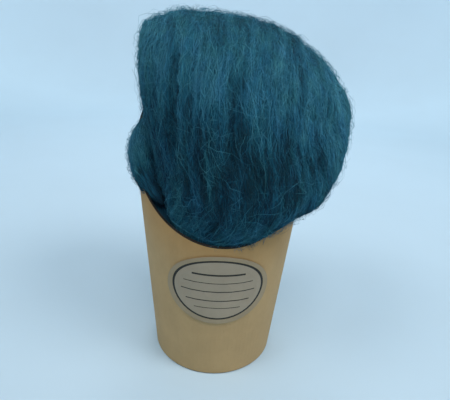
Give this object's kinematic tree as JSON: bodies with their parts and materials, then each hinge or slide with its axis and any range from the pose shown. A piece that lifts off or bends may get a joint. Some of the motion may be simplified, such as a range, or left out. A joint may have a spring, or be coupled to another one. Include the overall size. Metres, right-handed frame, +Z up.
{
  "type": "wool roving in a cardboard cup",
  "caption": "Folded teal wool roving tucked into a tapered, slant-cut brown cardboard cup with a plain oval paper label, for craft supply displays.",
  "frame": {"origin": "centre of the cup's underside, on the surface it stands on", "axes": "+Z up along the cup's axis, -Y towards the low side of the slanted mouth and the label, +X to the right as the label is read"},
  "size_m": [0.1124, 0.1031, 0.1882],
  "materials": {
    "wool": "matte",
    "card": "matte",
    "label_paper": "matte"
  },
  "bodies": {
    "root": {"wool_roving": "wool", "cup_wall": "card", "cup_base": "card", "label": "label_paper"}
  },
  "joints": []
}
